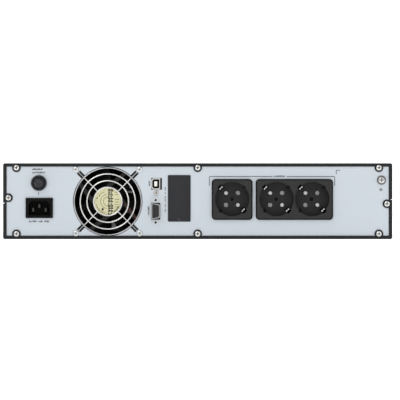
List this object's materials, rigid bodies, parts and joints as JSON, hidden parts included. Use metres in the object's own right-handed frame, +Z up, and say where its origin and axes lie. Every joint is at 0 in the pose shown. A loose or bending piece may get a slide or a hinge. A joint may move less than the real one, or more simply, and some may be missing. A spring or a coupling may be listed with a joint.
{
  "type": "rackmount ups",
  "caption": "Low, wide rackmount uninterruptible power supply with earthed outlets, mains inlet, fan, data ports, rack ears and a battery drawer at the front.",
  "frame": {"origin": "under the middle of the unit's bounding box, on the plane that it stands on", "axes": "+Z up, +X to the right seen from behind, -Y towards the rear connector panel, +Y towards the front"},
  "size_m": [0.4826, 0.446, 0.085],
  "materials": {
    "case_black": "fine-texture charcoal powder coat",
    "panel_silver": "zinc-plated sheet, bluish silver, satin",
    "screw_nickel": "bright nickel plate",
    "ear_black": "fine-texture charcoal powder coat",
    "breaker_black": "satin moulded plastic",
    "button_black": "semi-gloss moulded plastic",
    "inlet_black": "satin moulded plastic",
    "contact_metal": "nickel-plated brass",
    "fan_black": "satin moulded plastic",
    "guard_chrome": "bright chrome wire",
    "copper": "enamelled copper wire",
    "slot_screw_dark": "black oxide",
    "wire_insulation": "PVC insulation, one wire red and one black",
    "plain_steel": "bare steel",
    "port_steel": "nickel-plated shell",
    "white_plastic": "satin moulded plastic",
    "port_plastic": "satin moulded plastic",
    "board_green": "solder mask, satin",
    "slot_grey": "fine-texture dark grey powder coat",
    "galvanised": "galvanised sheet",
    "outlet_black": "satin moulded plastic",
    "aluminium_extrusion": "plain extruded",
    "chip_black": "moulded epoxy",
    "sleeve": "shrunk vinyl sleeve",
    "relay_case": "moulded plastic",
    "core_steel": "varnished laminations",
    "winding_tape": "yellow polyester tape",
    "connector_grey": "moulded plastic",
    "battery_case": "moulded case",
    "bezel_black": "fine-grain moulded plastic",
    "window_clear": "clear tinted window",
    "lcd_face": "display module"
  },
  "bodies": {
    "case": {"chassis_base": "case_black", "top_cover": "case_black", "rear_panel": "panel_silver", "rear_panel_screws": "screw_nickel", "rack_ear_left": "ear_black", "rack_ear_right": "ear_black", "ear_screws": "screw_nickel", "breaker_body": "breaker_black", "breaker_nut": "breaker_black", "inlet_housing": "inlet_black", "inlet_pins": "contact_metal", "ground_screw": "screw_nickel", "fan_frame": "fan_black", "fan_stator": "copper", "fan_screws": "screw_nickel", "fan_guard": "guard_chrome", "usb_shell": "port_steel", "usb_tongue": "white_plastic", "serial_shell": "port_steel", "serial_insert": "port_plastic", "serial_jack_nuts": "port_steel", "comm_board": "board_green", "port_screw": "screw_nickel", "slot_screw": "slot_screw_dark", "fan_lead": "wire_insulation", "slot_cover": "slot_grey", "card_cage": "galvanised", "outlet_housing_single": "outlet_black", "outlet_housing_double": "outlet_black", "outlet_contacts": "contact_metal", "outlet_rivets": "screw_nickel", "outlet_earth_clips": "screw_nickel", "main_board": "board_green", "board_standoffs": "plain_steel", "heatsinks": "aluminium_extrusion", "power_transistors": "chip_black", "capacitors": "sleeve", "relays": "relay_case", "transformer_core": "core_steel", "transformer_winding": "winding_tape", "transformer_bracket": "galvanised", "battery_bay": "galvanised", "bay_rails": "white_plastic", "bay_socket": "connector_grey", "front_bezel": "bezel_black", "display_window": "window_clear", "lcd_module": "lcd_face", "display_board": "board_green"},
    "drawer": {"drawer_tray": "galvanised", "drawer_face": "bezel_black", "drawer_screws": "screw_nickel", "batteries": "battery_case", "battery_strap": "plain_steel", "drawer_plug": "connector_grey"},
    "fan_rotor": {"fan_rotor": "fan_black", "fan_shaft": "plain_steel"},
    "breaker_button": {"breaker_button": "button_black"},
    "power_button": {"power_button": "button_black"},
    "menu_button_1": {"menu_button_1": "button_black"},
    "menu_button_2": {"menu_button_2": "button_black"}
  },
  "joints": [
    {"name": "drawer_slide", "type": "slide", "parent": "case", "child": "drawer", "axis": [0, 1, 0], "range_m": [0, 0.19]},
    {"name": "fan_spin", "type": "hinge", "parent": "case", "child": "fan_rotor", "pos_m": [-0.1008, -0.198, 0.0422], "axis": [0, 1, 0], "continuous": true},
    {"name": "breaker_pop", "type": "slide", "parent": "case", "child": "breaker_button", "axis": [0, -1, 0], "range_m": [0, 0.004]},
    {"name": "power_press", "type": "slide", "parent": "case", "child": "power_button", "axis": [0, -1, 0], "range_m": [0, 0.0012], "stiffness_N_per_m": 600},
    {"name": "menu_press_1", "type": "slide", "parent": "case", "child": "menu_button_1", "axis": [0, -1, 0], "range_m": [0, 0.001], "stiffness_N_per_m": 500},
    {"name": "menu_press_2", "type": "slide", "parent": "case", "child": "menu_button_2", "axis": [0, -1, 0], "range_m": [0, 0.001], "stiffness_N_per_m": 500}
  ]
}
